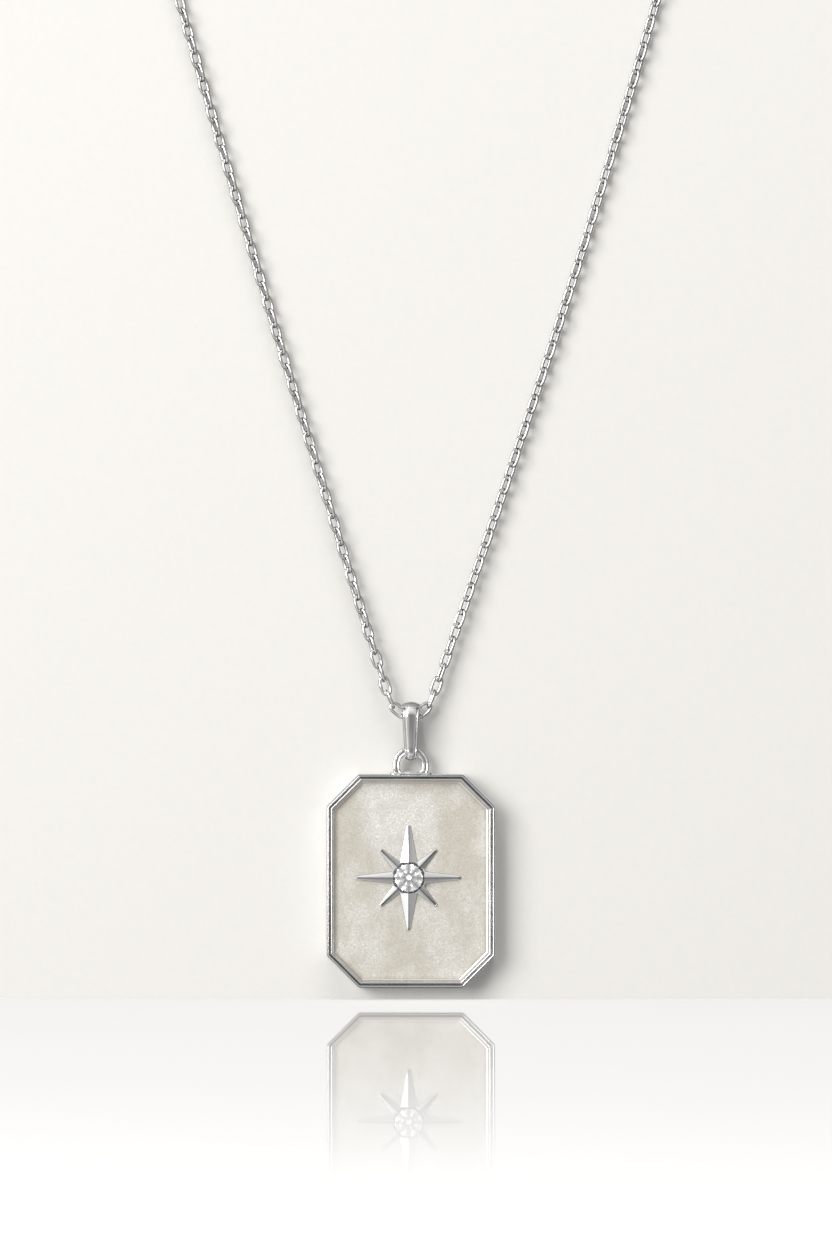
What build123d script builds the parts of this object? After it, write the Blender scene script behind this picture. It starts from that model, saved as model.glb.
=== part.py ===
from build123d import *
from math import atan, cos, degrees, radians, sin, sqrt, tan
import os

# Pendant necklace: an octagonal framed shell plaque with a star and a round stone, on a bail and a
# fine cable chain, laid over a display rail with the clasp hanging behind. Millimetres, +Z up,
# the pendant faces -Y, and the origin is where the chain lies over the rail, midway between its sides.

# ---- driving dimensions ----
hang_height = 130.0  # from the pendant's lowest edge up to the chain's resting line on the rail
frame_width = 15.0
frame_height = 19.0
frame_depth = 2.3
corner_cut = 2.85  # leg of each 45 degree corner
corner_round = 0.45

bead_width = 0.27  # the rim, from its outer edge inwards: bead, groove, ridge, sloping wall
groove_width = 0.12
groove_depth = 0.16
ridge_width = 0.14
wall_run = 0.24
recess_depth = 0.5  # from the rim's front down to the shell

inlay_side_gap = 0.02
inlay_thickness = 1.2
bond_thickness = 0.1
back_thickness = 0.5
cavity_inset = 0.6  # from the frame's outer edge to the wall that holds the shell
back_inset = 0.34  # from the frame's outer edge to the rebate that holds the back plate
back_gap = 0.01

star_right = -0.2  # the star's centre, from the frame's centre
star_up = 0.3
main_arm = 4.67
main_arm_base = 1.33
level_arm_base = 1.18
main_arm_rise = 0.62
small_arm = 3.56
small_arm_base = 0.86
small_arm_rise = 0.48
arm_tip = 0.2
arm_tip_rise = 0.2
arm_side_wall = 0.12
star_hub_radius = 1.56
star_hub_rise = 0.3

stone_diameter = 2.5
table_share = 0.57
girdle_band = 0.06
crown_angle = 34.5
star_facet_angle = 22.0
upper_half_angle = 42.0
pavilion_angle = 40.8
lower_half_angle = 42.0
stone_front = 0.85  # from the shell's face to the stone's table

collet_radius = 1.38
collet_rise = 0.6
stem_radius = 1.1
seat_gap = 0.02
rim_bevel_rise = 0.03  # the collet's rim slopes down to both sides of a line
rim_bevel_run = 0.04
grain_radius = 0.1
grain_count = 8

loop_width = 3.2
loop_rise = 2.5
loop_band = 0.62
loop_thickness = 0.72
loop_round = 0.2
loop_round_from = 0.3  # height above the frame from which the arch's edges are rounded
loop_ridge = 0.06  # left outside the groove in the arch's front
loop_groove_width = 0.08
loop_groove_depth = 0.07
loop_bar_drop = 0.09  # of the arched bar's middle below its crown, across the bail's width
flange_width = 3.7
flange_depth = 1.3
flange_thickness = 0.15
flange_corner = 0.3

bail_top = 25.45  # heights from the frame's lowest edge
bail_wall = 0.4
bail_head_radius = 1.25
bail_foot_radius = 0.92
bail_top_width = 1.62
bail_foot_width = 1.08
bail_edge_width = 0.24
bail_channel_depth = 0.09
bail_cutter_depth = 8.0  # of the front outline that trims the bail, deeper than the bail

wire = 0.28  # chain
link_width = 1.06
link_gap = 0.04
link_pitch = 1.27
chain_link_height = 24.3  # the link inside the bail
left_roll = 36.0  # how far each strand's links lean over
right_roll = 45.0
twist_links = 8
untwist_links = 60

clasp_thickness = 1.5
clasp_eye_thickness = 0.8
clasp_height = 35.5
clasp_shift = -1.22  # centres the clasp with its rings between the chain's two ends
hook_center = 2.0
hook_radius = 2.3
tail_center = -2.9
tail_radius = 1.3
mouth_center = 2.1
mouth_radius = 1.45
throat_center = 0.4
throat_radius = 1.05
eye_center = -3.15
eye_radius = 0.7
pin_right = -0.7
pin_up = -1.1
pin_radius = 0.26
pin_proud = 0.04  # of the pin beyond the claw, at each side
pin_clearance = 0.03
hub_radius = 0.6
clasp_round = 0.25
jaw_line = -0.9  # the trigger is the part of the claw below this line
trigger_thickness = 0.72
trigger_round = 0.12
lever_root_radius = 0.42
lever_end_radius = 0.36
lever_right = -0.55  # the lever's end, from the pin
lever_up = -1.45
slot_width = 0.82
slot_side = 2.5
slot_right = -1.0
slot_up = -1.6
tab_right = -3.6  # the thinned end with the eye
tab_length = 2.6
tab_height = 4.0
spring_thickness = 0.1
spring_width = 0.5
spring_points = [(-2.1, -0.6), (-1.55, -0.6), (-1.55, -1.0), (-1.75, -1.5)]
gate_start = 0.1
gate_end = 2.85
gate_gap = 0.07
ring_wire = 0.4
jump_ring_radius = 1.1
catch_jump_radius = 0.95
catch_ring_wire = 0.5
catch_ring_radius = 1.75
jump_ring_right = -4.5  # the rings' centres, from the clasp's
catch_ring_right = 4.9
catch_jump_right = 7.1

# ---- the chain's route, from the joint beside the bail to the clasp's rings, chosen by hand ----
# x to the right, y to the back, z up from the frame's lowest edge
left_route = [
    (-0.64, 0.0, 24.3),
    (-1.55, 0.0, 24.75),
    (-2.15, 0.05, 26.4),
    (-3.8, 0.2, 31.6),
    (-7.6, 0.5, 43.9),
    (-13.2, 0.6, 62.3),
    (-20.6, 0.6, 87.6),
    (-26.4, 0.6, 109.0),
    (-30.6, 0.6, 125.5),
    (-31.3, 0.6, 130.0),
    (-31.7, 3.7, 131.3),
    (-32.0, 6.8, 130.0),
    (-32.1, 6.8, 125.0),
    (-31.0, 6.8, 105.0),
    (-28.7, 6.8, 82.0),
    (-24.9, 6.8, 63.5),
    (-19.3, 6.8, 48.5),
    (-13.0, 6.8, 39.8),
    (-8.9, 6.8, 36.4),
    (-6.6, 6.8, 35.5),
]
right_route = [
    (0.64, 0.0, 24.3),
    (1.5, 0.0, 24.75),
    (2.1, 0.05, 26.4),
    (3.95, 0.2, 31.6),
    (8.15, 0.5, 43.9),
    (14.3, 0.6, 62.3),
    (21.9, 0.6, 87.6),
    (27.6, 0.6, 109.0),
    (31.4, 0.6, 125.5),
    (32.0, 0.6, 130.0),
    (32.3, 3.7, 131.3),
    (32.5, 6.8, 130.0),
    (32.6, 6.8, 125.0),
    (31.4, 6.8, 105.0),
    (29.0, 6.8, 82.0),
    (25.1, 6.8, 63.5),
    (19.4, 6.8, 48.5),
    (13.0, 6.8, 39.8),
    (8.9, 6.8, 36.4),
    (6.6, 6.8, 35.5),
]
over_rail_from = 126.0  # links above this height lie over the rail

# ---- derived places ----
base = -hang_height
frame_middle = base + frame_height / 2
frame_front = -frame_depth / 2
frame_back = frame_depth / 2
shell_face = frame_front + recess_depth
shell_back = shell_face + inlay_thickness
bond_back = shell_back + bond_thickness
star_height = frame_middle + star_up
frame_top = base + frame_height
bar_height = frame_top + loop_rise - loop_band / 2 - loop_bar_drop
bail_head_height = base + bail_top - bail_head_radius
clasp_z = base + clasp_height
back_y = 6.8


def facing(depth, height, right=0.0):
    """A plane that faces the front, with x to the right and y up."""
    return Plane(origin=(right, depth, height), x_dir=(1, 0, 0), z_dir=(0, -1, 0))


def plaque_outline(inset, mode=Mode.ADD):
    """The frame's octagon, every side moved in by inset."""
    half_x = frame_width / 2 - inset
    half_y = frame_height / 2 - inset
    cut = corner_cut - inset * (2 - sqrt(2))
    with BuildLine() as outline:
        Polyline(
            (-half_x, -half_y + cut),
            (-half_x + cut, -half_y),
            (half_x - cut, -half_y),
            (half_x, -half_y + cut),
            (half_x, half_y - cut),
            (half_x - cut, half_y),
            (-half_x + cut, half_y),
            (-half_x, half_y - cut),
            close=True,
        )
    make_face(outline.edges(), mode=mode)


def save(part, name):
    part.label = name
    export_step(part, f"parts/{name}.step")


os.makedirs("parts", exist_ok=True)

# ---- frame ----
with BuildPart() as bezel_frame:
    with BuildSketch(facing(frame_front, frame_middle)):
        plaque_outline(0)
    extrude(amount=-frame_depth)
    fillet(bezel_frame.edges().filter_by(Axis.Y), corner_round)
    fillet(bezel_frame.faces().sort_by(Axis.Y)[0].edges(), bead_width / 2)
    fillet(bezel_frame.faces().sort_by(Axis.Y)[-1].edges(), bead_width / 2)
    with BuildSketch(facing(frame_front, frame_middle)):
        plaque_outline(bead_width)
        plaque_outline(bead_width + groove_width, Mode.SUBTRACT)
    extrude(amount=-groove_depth, mode=Mode.SUBTRACT)
    with BuildSketch(facing(frame_front, frame_middle)):
        plaque_outline(bead_width + groove_width + ridge_width)
    wall_taper = degrees(atan(wall_run / recess_depth))
    extrude(amount=-recess_depth, taper=wall_taper, mode=Mode.SUBTRACT)
    with BuildSketch(facing(shell_face, frame_middle)):
        plaque_outline(cavity_inset)
    extrude(amount=-(frame_back - shell_face), mode=Mode.SUBTRACT)
    with BuildSketch(facing(bond_back, frame_middle)):
        plaque_outline(back_inset)
    extrude(amount=-back_thickness, mode=Mode.SUBTRACT)
save(bezel_frame.part, "bezel_frame")

with BuildPart() as back_plate:
    with BuildSketch(facing(bond_back, frame_middle)):
        plaque_outline(back_inset + back_gap)
    extrude(amount=-back_thickness)
save(back_plate.part, "back_plate")

# ---- shell and its bond ----
with BuildPart() as shell_inlay:
    with BuildSketch(facing(shell_face, frame_middle)):
        plaque_outline(cavity_inset + inlay_side_gap)
        with Locations((star_right, star_up)):
            Circle(stem_radius + seat_gap, mode=Mode.SUBTRACT)
    extrude(amount=-inlay_thickness)
save(shell_inlay.part, "shell_inlay")

with BuildPart() as inlay_bond:
    with BuildSketch(facing(shell_back, frame_middle)):
        plaque_outline(cavity_inset + inlay_side_gap)
        with Locations((star_right, star_up)):
            Circle(stem_radius + seat_gap, mode=Mode.SUBTRACT)
    extrude(amount=-bond_thickness)
save(inlay_bond.part, "inlay_bond")


# ---- star ----
def arm_section(width, rise):
    """A low house shape: two short walls and a roof that meets in a ridge."""
    wall = min(arm_side_wall, rise / 2)
    with BuildLine() as outline:
        Polyline(
            (-width / 2, 0),
            (width / 2, 0),
            (width / 2, wall),
            (0, rise),
            (-width / 2, wall),
            close=True,
        )
    make_face(outline.edges())


def star_arm(angle, length, width, rise):
    """One arm from the centre out, angle counted from +X towards +Z."""
    out = Vector(cos(radians(angle)), 0, sin(radians(angle)))
    across = Vector(0, -1, 0).cross(out)
    center = Vector(star_right, shell_face, star_height)
    with BuildSketch(Plane(origin=center, x_dir=across, z_dir=out)) as root:
        arm_section(width, rise)
    with BuildSketch(Plane(origin=center + out * length, x_dir=across, z_dir=out)) as tip:
        arm_section(arm_tip, arm_tip_rise)
    loft(sections=[root.sketch, tip.sketch])


with BuildPart() as starburst:
    for turn in range(4):
        arm_base = main_arm_base if turn % 2 else level_arm_base
        star_arm(turn * 90, main_arm, arm_base, main_arm_rise)
        star_arm(turn * 90 + 45, small_arm, small_arm_base, small_arm_rise)
    with BuildSketch(facing(shell_face, star_height, star_right)):
        Circle(star_hub_radius)
    extrude(amount=star_hub_rise)
    with BuildSketch(facing(shell_face, star_height, star_right)):
        Circle(collet_radius + seat_gap)
    extrude(amount=2 * main_arm_rise, mode=Mode.SUBTRACT)
save(starburst.part, "starburst")

# ---- stone and its collet ----
stone_radius = stone_diameter / 2
table_radius = stone_radius * table_share
crown_rise = (stone_radius - table_radius) * tan(radians(crown_angle))
girdle_front = shell_face - stone_front + crown_rise
girdle_back = girdle_front + girdle_band
pavilion_drop = stone_radius * tan(radians(pavilion_angle))
star_axis = Axis((star_right, 0, star_height), (0, 1, 0))


def facet(turn, slope, radius, depth, side):
    """The plane of one facet: side is -1 for the crown and 1 for the pavilion."""
    out = Vector(cos(radians(turn)), 0, sin(radians(turn)))
    normal = out * sin(radians(slope)) + Vector(0, side * cos(radians(slope)), 0)
    place = Vector(star_right, depth, star_height) + out * radius
    return Plane(origin=place, z_dir=normal)


with BuildPart() as brilliant_stone:
    with BuildSketch(facing(girdle_front - crown_rise, star_height, star_right)):
        Circle(stone_radius)
    extrude(amount=-(crown_rise + girdle_band + pavilion_drop))
    table_front = girdle_front - crown_rise
    half_radius = stone_radius * cos(radians(11.25))
    for main in range(8):
        turn = main * 45
        split(bisect_by=facet(turn, crown_angle, stone_radius, girdle_front, -1), keep=Keep.BOTTOM)
        edge_radius = table_radius * cos(radians(22.5))
        star_plane = facet(turn + 22.5, star_facet_angle, edge_radius, table_front, -1)
        split(bisect_by=star_plane, keep=Keep.BOTTOM)
        split(bisect_by=facet(turn, pavilion_angle, stone_radius, girdle_back, 1), keep=Keep.BOTTOM)
        for lean in (-11.25, 11.25):
            upper = facet(turn + lean, upper_half_angle, half_radius, girdle_front, -1)
            split(bisect_by=upper, keep=Keep.BOTTOM)
            lower = facet(turn + lean, lower_half_angle, half_radius, girdle_back, 1)
            split(bisect_by=lower, keep=Keep.BOTTOM)
save(brilliant_stone.part, "brilliant_stone")

with BuildPart() as stone_collet:
    seat_radius = stone_radius + seat_gap
    seat_depth = girdle_back + 1.5 * seat_gap
    rim_front = shell_face - collet_rise
    seat_slope = tan(radians(pavilion_angle))
    with BuildSketch(Plane.XY.offset(star_height)):
        with BuildLine():
            Polyline(
                (star_right, seat_depth + seat_radius * seat_slope),
                (star_right + seat_radius, seat_depth),
                (star_right + seat_radius, rim_front + rim_bevel_rise),
                (star_right + seat_radius + rim_bevel_run, rim_front),
                (star_right + collet_radius, rim_front + rim_bevel_rise),
                (star_right + collet_radius, shell_face),
                (star_right + stem_radius, shell_face),
                (star_right + stem_radius, bond_back),
                (star_right, bond_back),
                close=True,
            )
        make_face()
    revolve(axis=star_axis)
    with Locations(facing(rim_front, star_height, star_right)):
        with PolarLocations(collet_radius - grain_radius / 2, grain_count, start_angle=22.5):
            Sphere(grain_radius)
save(stone_collet.part, "stone_collet")

# ---- loop on top of the frame ----
def arch(half_width, top, mode=Mode.ADD):
    """A round-topped arch that stands on the line y = 0."""
    with BuildLine() as outline:
        Line((half_width, 0), (half_width, top - half_width))
        CenterArc((0, top - half_width), half_width, 0, 180)
        Line((-half_width, top - half_width), (-half_width, 0))
        Line((-half_width, 0), (half_width, 0))
    make_face(outline.edges(), mode=mode)


with BuildPart() as frame_loop:
    half_loop = loop_width / 2
    with BuildSketch(facing(-loop_thickness / 2, frame_top)):
        arch(half_loop, loop_rise)
        arch(half_loop - loop_band, loop_rise - loop_band, Mode.SUBTRACT)
    extrude(amount=-loop_thickness)
    outline_edges = frame_loop.faces().filter_by(Axis.Y).edges()
    upper_edges = outline_edges.filter_by_position(Axis.Z, frame_top + loop_round_from, frame_top + loop_rise)
    fillet(upper_edges, loop_round)
    with BuildSketch(facing(-loop_thickness / 2, frame_top)):
        groove_out = loop_round + loop_ridge
        groove_in = groove_out + loop_groove_width
        arch(half_loop - groove_out, loop_rise - groove_out)
        arch(half_loop - groove_in, loop_rise - groove_in, Mode.SUBTRACT)
    extrude(amount=-loop_groove_depth, mode=Mode.SUBTRACT)
    with BuildSketch(Plane.XY.offset(frame_top)):
        RectangleRounded(flange_width, flange_depth, flange_corner)
    extrude(amount=flange_thickness)
save(frame_loop.part, "frame_loop")


def round_ended(first, first_radius, second, second_radius, mode=Mode.ADD):
    """Two circles and the straight flanks that touch both."""
    circles = [
        Edge.make_circle(first_radius, Plane(origin=first)),
        Edge.make_circle(second_radius, Plane(origin=second)),
    ]
    make_hull(circles, mode=mode)


# ---- bail ----
def bail_side(thinner, mode=Mode.ADD):
    """The bail seen from the side, every wall moved in by thinner."""
    head = (0, bail_head_height)
    foot = (0, bar_height)
    round_ended(head, bail_head_radius - thinner, foot, bail_foot_radius - thinner, mode)


def bail_front(inset):
    """The bail's tapered front: wide over the chain and narrow at the loop."""
    top = base + bail_top
    foot = bar_height - bail_foot_radius
    half_top = bail_top_width / 2 - inset
    half_foot = bail_foot_width / 2 - inset
    with BuildLine() as outline:
        Polyline((-half_foot, foot), (half_foot, foot), (half_top, top), (-half_top, top), close=True)
    make_face(outline.edges())


with BuildPart() as bail_channel:
    with BuildSketch(Plane.YZ.offset(-bail_top_width)):
        bail_side(-1)
        bail_side(bail_channel_depth, Mode.SUBTRACT)
    extrude(amount=2 * bail_top_width)
    with BuildSketch(facing(-bail_cutter_depth / 2, 0)):
        bail_front(bail_edge_width)
    extrude(amount=-bail_cutter_depth, mode=Mode.INTERSECT)

with BuildPart() as bail:
    with BuildSketch(Plane.YZ.offset(-bail_top_width)):
        bail_side(0)
        bail_side(bail_wall, Mode.SUBTRACT)
    extrude(amount=2 * bail_top_width)
    with BuildSketch(facing(-bail_cutter_depth / 2, 0)):
        bail_front(0)
    extrude(amount=-bail_cutter_depth, mode=Mode.INTERSECT)
    add(bail_channel.part, mode=Mode.SUBTRACT)
save(bail.part, "bail")

# ---- chain ----
# One link lies along X with its width along Y. Its inner length is the pitch and the gap between wires.
with BuildPart() as link:
    bend = (link_width - wire) / 2
    straight = link_pitch + link_gap + wire - 2 * bend
    with BuildSketch(Plane.YZ.offset(-straight / 2)):
        with Locations((-bend, 0), (bend, 0)):
            Circle(wire / 2)
    extrude(amount=straight)
    for end in (-straight / 2, straight / 2):
        with BuildSketch(Plane.YZ.offset(end)):
            with Locations((bend, 0)):
                Circle(wire / 2)
        revolve(axis=Axis((end, 0, 0), (0, 0, 1)), revolution_arc=180 if end < 0 else -180)


def route_line(points):
    """One smooth line that touches the middle of each run between the route's points."""
    spots = [Vector(x, y, base + z) for x, y, z in points]
    edges = []
    start = spots[0]
    for n in range(1, len(spots) - 1):
        last = n == len(spots) - 2
        end = spots[n + 1] if last else (spots[n] + spots[n + 1]) / 2
        edges.append(Edge.make_bezier(start, spots[n], end))
        start = end
    return Wire(edges)


def chain_joints(points, even):
    """Where each link of a strand meets the next, evenly along the route."""
    line = route_line(points)
    count = round(line.length / link_pitch)
    if (count % 2 == 0) != even:
        count += 1 if line.length / link_pitch > count else -1
    return [line @ (n / count) for n in range(count + 1)]


def strand(points, even, roll):
    """Copies of the link between the joints, each a quarter turn on from the one before it."""
    joints = chain_joints(points, even)
    side = Vector(0, 0, 1)
    placed = []
    for n in range(len(joints) - 1):
        along = (joints[n + 1] - joints[n]).normalized()
        side = (side - along * side.dot(along)).normalized()
        twist = roll * min(1, (n + 1) / twist_links, (len(joints) - 2 - n) / untwist_links)
        turned = side.rotate(Axis((0, 0, 0), along), 90 * n + twist)
        middle = (joints[n] + joints[n + 1]) / 2
        place = Plane(origin=middle, x_dir=along, z_dir=along.cross(turned))
        placed.append((middle, place.location * link.part))
    return placed


def save_strand(placed, side_name):
    """A strand in three nodes: in front, over the rail and behind."""
    over = [n for n, (middle, _) in enumerate(placed) if middle.Z > base + over_rail_from]
    groups = {
        f"chain_front_{side_name}": placed[: over[0]],
        f"chain_over_rail_{side_name}": placed[over[0] : over[-1] + 1],
        f"chain_back_{side_name}": placed[over[-1] + 1 :],
    }
    for name, links in groups.items():
        save(Compound(children=[solid for _, solid in links]), name)
        print(name, len(links), "links")


left_links = strand(left_route, False, left_roll)
right_links = strand(right_route, True, right_roll)
save_strand(left_links, "left")
save_strand(right_links, "right")

bail_link = Plane.XY.offset(base + chain_link_height).location * link.part
save(bail_link, "bail_link")


# ---- clasp and its rings ----
def clasp_plane(depth):
    """A plane across the clasp, facing the front, with its origin on the clasp's centreline."""
    return facing(back_y + depth, clasp_z, clasp_shift)


def claw_outline():
    """A drop-shaped claw with a drop-shaped mouth."""
    round_ended((hook_center, 0), hook_radius, (tail_center, 0), tail_radius)
    mouth = (mouth_center, 0)
    round_ended(mouth, mouth_radius, (throat_center, 0), throat_radius, Mode.SUBTRACT)


with BuildPart() as clasp_body:
    with BuildSketch(clasp_plane(-clasp_thickness / 2)):
        claw_outline()
    extrude(amount=-clasp_thickness)
    fillet(clasp_body.faces().filter_by(Axis.Y).edges(), clasp_round)
    with BuildSketch(clasp_plane(-clasp_thickness)):
        with Locations(((gate_start + gate_end) / 2, -hook_radius)):
            Rectangle(gate_end - gate_start, 2 * hook_radius)
    extrude(amount=-2 * clasp_thickness, mode=Mode.SUBTRACT)
    with BuildSketch(clasp_plane(-slot_width / 2)):
        with Locations((slot_right, slot_up)):
            Rectangle(slot_side, slot_side)
    extrude(amount=-slot_width, mode=Mode.SUBTRACT)
    with BuildSketch(clasp_plane(-clasp_thickness)):
        with Locations((pin_right, pin_up)):
            Circle(pin_radius)
        with Locations((eye_center, 0)):
            Circle(eye_radius)
    extrude(amount=-2 * clasp_thickness, mode=Mode.SUBTRACT)
    tab_cut = (clasp_thickness - clasp_eye_thickness) / 2
    for depth in (-clasp_thickness / 2, clasp_eye_thickness / 2):
        with BuildSketch(clasp_plane(depth)):
            with Locations((tab_right, 0)):
                Rectangle(tab_length, tab_height)
        extrude(amount=-tab_cut, mode=Mode.SUBTRACT)
save(clasp_body.part, "clasp_body")

with BuildPart() as clasp_trigger:
    with BuildSketch(clasp_plane(-trigger_thickness / 2)):
        claw_outline()
        with Locations(((pin_right + gate_end - gate_gap) / 2, jaw_line - hook_radius)):
            Rectangle(gate_end - gate_gap - pin_right, 2 * hook_radius, mode=Mode.INTERSECT)
        with Locations((pin_right, pin_up)):
            Circle(hub_radius)
        lever_end = (pin_right + lever_right, pin_up + lever_up)
        round_ended((pin_right, pin_up), lever_root_radius, lever_end, lever_end_radius)
        with Locations((pin_right, pin_up)):
            Circle(pin_radius + pin_clearance, mode=Mode.SUBTRACT)
    extrude(amount=-trigger_thickness)
    fillet(clasp_trigger.edges().group_by(Axis.Z)[0], trigger_round)
save(clasp_trigger.part, "clasp_trigger")

with BuildPart() as clasp_pin:
    with BuildSketch(clasp_plane(-clasp_thickness / 2 - pin_proud)):
        with Locations((pin_right, pin_up)):
            Circle(pin_radius)
    extrude(amount=-clasp_thickness - 2 * pin_proud)
save(clasp_pin.part, "clasp_pin")

with BuildPart() as clasp_spring:
    with BuildSketch(clasp_plane(-spring_width / 2)):
        with BuildLine():
            Polyline(*spring_points)
            offset(amount=spring_thickness / 2)
        make_face()
    extrude(amount=-spring_width)
save(clasp_spring.part, "clasp_spring")


def ring(right, flat, radius, thickness):
    """A round ring of round wire, flat when it lies level and upright when it faces the front."""
    middle = Vector(clasp_shift + right, back_y, clasp_z)
    up = (0, 0, 1) if flat else (0, -1, 0)
    with BuildPart() as made:
        with Locations(Plane(origin=middle, x_dir=(1, 0, 0), z_dir=up)):
            Torus(radius, thickness / 2)
    return made.part


save(ring(jump_ring_right, True, jump_ring_radius, ring_wire), "clasp_jump_ring")
save(ring(catch_ring_right, True, catch_ring_radius, catch_ring_wire), "catch_ring")
save(ring(catch_jump_right, False, catch_jump_radius, ring_wire), "catch_jump_ring")


def tightest_bend(points):
    """The smallest radius of the circle through three places one link apart, along a route."""
    line = route_line(points)
    step = link_pitch / line.length
    radii = []
    for n in range(1, int(1 / step)):
        before, here, after = (line @ ((n + k) * step) for k in (-1, 0, 1))
        first = here - before
        second = after - here
        doubled_area = first.cross(second).length
        radii.append(first.length * second.length * (after - before).length / (2 * doubled_area))
    return min(radii)


clasp_span = right_route[-1][0] - left_route[-1][0]
total = route_line(left_route).length + route_line(right_route).length + link_pitch + clasp_span
print("chain and clasp, end to end:", round(total, 1), "mm")
for name, route in (("left", left_route), ("right", right_route)):
    print(name, "strand:", round(route_line(route).length, 1), "mm,", end=" ")
    print("tightest bend radius", round(tightest_bend(route), 2), "mm")
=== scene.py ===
import math
import random

import bmesh
import bpy
import numpy as np
from mathutils import Matrix, Vector


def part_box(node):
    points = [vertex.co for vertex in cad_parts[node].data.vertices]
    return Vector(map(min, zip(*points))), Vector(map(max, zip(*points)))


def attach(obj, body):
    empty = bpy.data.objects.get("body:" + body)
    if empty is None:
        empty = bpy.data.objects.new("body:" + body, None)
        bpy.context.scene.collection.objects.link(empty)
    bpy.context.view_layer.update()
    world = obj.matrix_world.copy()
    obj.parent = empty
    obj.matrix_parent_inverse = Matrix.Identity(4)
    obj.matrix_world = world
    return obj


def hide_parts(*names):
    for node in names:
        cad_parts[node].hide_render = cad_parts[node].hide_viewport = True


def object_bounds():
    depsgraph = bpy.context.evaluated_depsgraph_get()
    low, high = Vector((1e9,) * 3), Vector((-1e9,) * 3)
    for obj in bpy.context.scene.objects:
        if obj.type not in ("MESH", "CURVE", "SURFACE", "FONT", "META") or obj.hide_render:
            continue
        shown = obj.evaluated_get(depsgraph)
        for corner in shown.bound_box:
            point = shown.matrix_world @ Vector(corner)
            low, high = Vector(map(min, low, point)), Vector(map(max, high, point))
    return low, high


# A pendant necklace laid over a display board's rounded edge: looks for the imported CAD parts.
# Objects are in metres, in the CAD frame: +Z up, the pendant facing -Y.

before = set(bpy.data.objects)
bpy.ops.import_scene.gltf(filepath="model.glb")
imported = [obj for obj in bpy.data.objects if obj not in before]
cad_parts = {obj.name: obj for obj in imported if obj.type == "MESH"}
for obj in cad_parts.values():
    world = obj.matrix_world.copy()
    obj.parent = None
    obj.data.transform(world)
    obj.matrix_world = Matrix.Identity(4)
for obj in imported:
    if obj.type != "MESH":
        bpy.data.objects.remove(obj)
cad_low, cad_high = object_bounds()

MM = 0.001
frame_low, frame_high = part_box("bezel_frame")
base = frame_low.z  # the pendant's lowest edge, from which heights are counted
frame_front, frame_back = frame_low.y, frame_high.y
frame_center = (frame_low + frame_high) / 2
floor_z = base - 1.1 * MM
board_front = frame_back + 0.1 * MM

# ---------------------------------------------------------------- camera

VIEW_HEIGHT = 111.1 * MM  # what the picture's height shows at the pendant
CAMERA_AWAY = 700 * MM
CAMERA_HEIGHT = 33.5 * MM  # above the floor
CAMERA_RIGHT = 0.45 * MM
SENSOR = 36.0

camera_data = bpy.data.cameras.new("camera")
camera_data.sensor_width = SENSOR
camera_data.lens = SENSOR * CAMERA_AWAY / VIEW_HEIGHT
camera_data.clip_start = 0.01
camera_data.clip_end = 20.0
camera = bpy.data.objects.new("camera", camera_data)
camera.location = (CAMERA_RIGHT, frame_front - CAMERA_AWAY, floor_z + CAMERA_HEIGHT)
camera.rotation_euler = (math.radians(90), 0, 0)
bpy.context.scene.collection.objects.link(camera)
bpy.context.scene.camera = camera
bpy.context.scene.view_settings.view_transform = "Standard"

# ---------------------------------------------------------------- materials


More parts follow.
